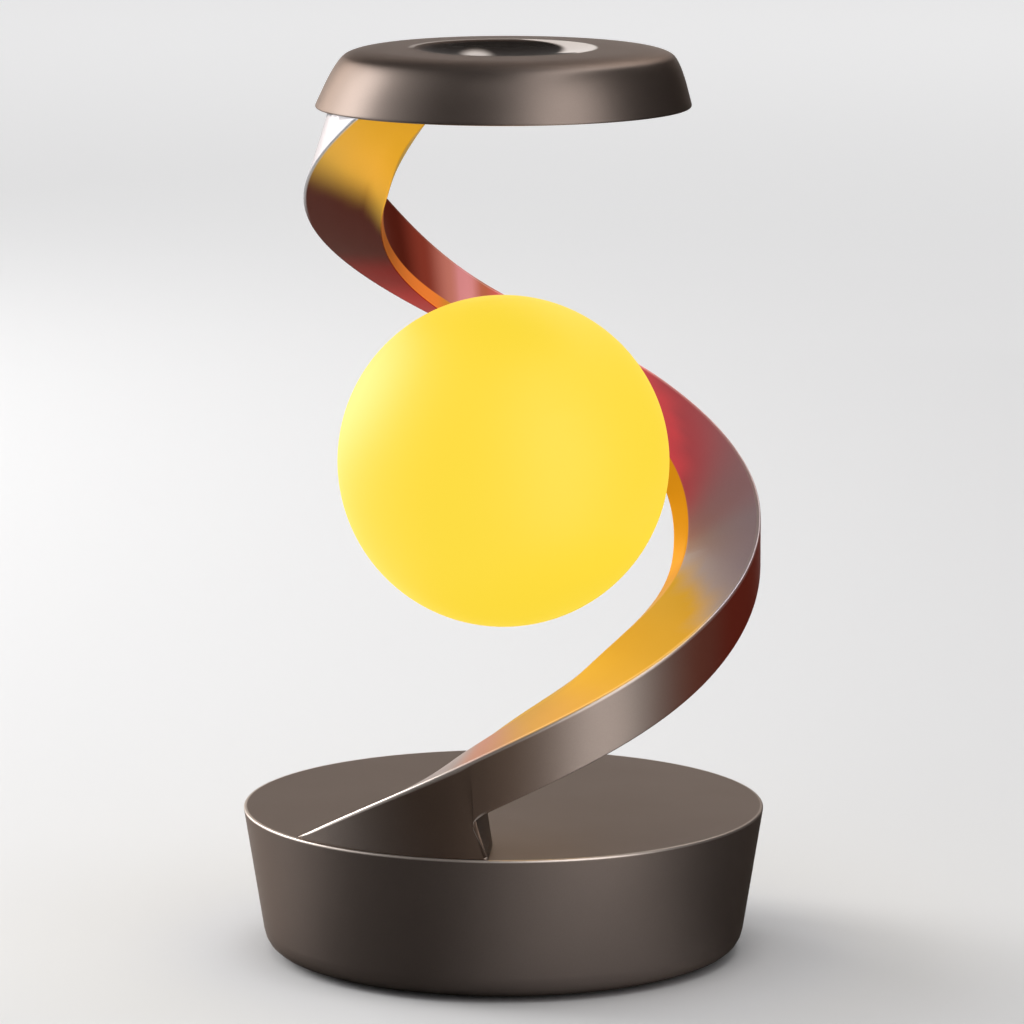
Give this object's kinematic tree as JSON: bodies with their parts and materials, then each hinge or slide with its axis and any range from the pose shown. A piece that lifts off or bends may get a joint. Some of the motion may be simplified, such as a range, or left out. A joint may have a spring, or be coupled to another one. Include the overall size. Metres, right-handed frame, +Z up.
{
  "type": "magnetic balance lamp",
  "caption": "Table lamp with a round weighted base, a twisted arm that climbs once round a glowing magnet-held globe, and a domed cap on top.",
  "frame": {"origin": "centre of the underside of the base, on the surface the lamp stands on", "axes": "+Z up, -Y towards the front, where the arm's foot starts on the base's rim"},
  "size_m": [0.1578, 0.1578, 0.2747],
  "materials": {
    "bronze_paint": "satin metallic",
    "arm_paint": "satin metallic",
    "globe_plastic": "opal, lit from inside",
    "dark_plastic": "matt",
    "pad_rubber": "matt",
    "steel": "plain",
    "magnet_metal": "nickel plated",
    "contact_metal": "gold plated",
    "circuit_board": "solder mask",
    "post_metal": "plain",
    "cable_skin": "matt",
    "light_lens": "phosphor"
  },
  "bodies": {
    "lamp_frame": {"base_housing": "bronze_paint", "base_bottom_plate": "dark_plastic", "rubber_feet": "pad_rubber", "ballast_ring": "steel", "bottom_screws": "steel", "main_board": "circuit_board", "board_components": "dark_plastic", "board_screws": "steel", "power_inlet": "steel", "button_switch": "dark_plastic", "arm_shell": "arm_paint", "arm_cover": "arm_paint", "arm_foot_screws": "steel", "arm_cable": "cable_skin", "seat_housing": "arm_paint", "seat_magnet": "magnet_metal", "contact_studs": "contact_metal", "cap_shell": "bronze_paint", "cap_bottom_plate": "dark_plastic", "cap_screws": "steel", "arm_head_screws": "steel", "touch_electrode": "contact_metal", "touch_board": "circuit_board", "touch_screws": "steel"},
    "power_button": {"power_button": "bronze_paint"},
    "coupler": {"coupler_cup": "steel", "coupler_magnet": "magnet_metal", "contact_rings": "contact_metal"},
    "globe": {"globe_shell": "globe_plastic", "globe_socket": "dark_plastic", "light_post": "post_metal", "light_board": "post_metal", "light_sources": "light_lens", "post_screws": "steel"}
  },
  "joints": [
    {"name": "globe_pull", "type": "slide", "parent": "lamp_frame", "child": "coupler", "axis": [-0.7547, -0.6561, 0], "range_m": [0, 0.14]},
    {"name": "globe_spin", "type": "hinge", "parent": "coupler", "child": "globe", "pos_m": [0, 0, 0.14995], "axis": [0.7547, 0.6561, 0], "continuous": true},
    {"name": "power_button_press", "type": "slide", "parent": "lamp_frame", "child": "power_button", "axis": [-0.2419, -0.9703, 0], "range_m": [0, 0.0012], "stiffness_N_per_m": 900, "springref_m": -0.001}
  ]
}
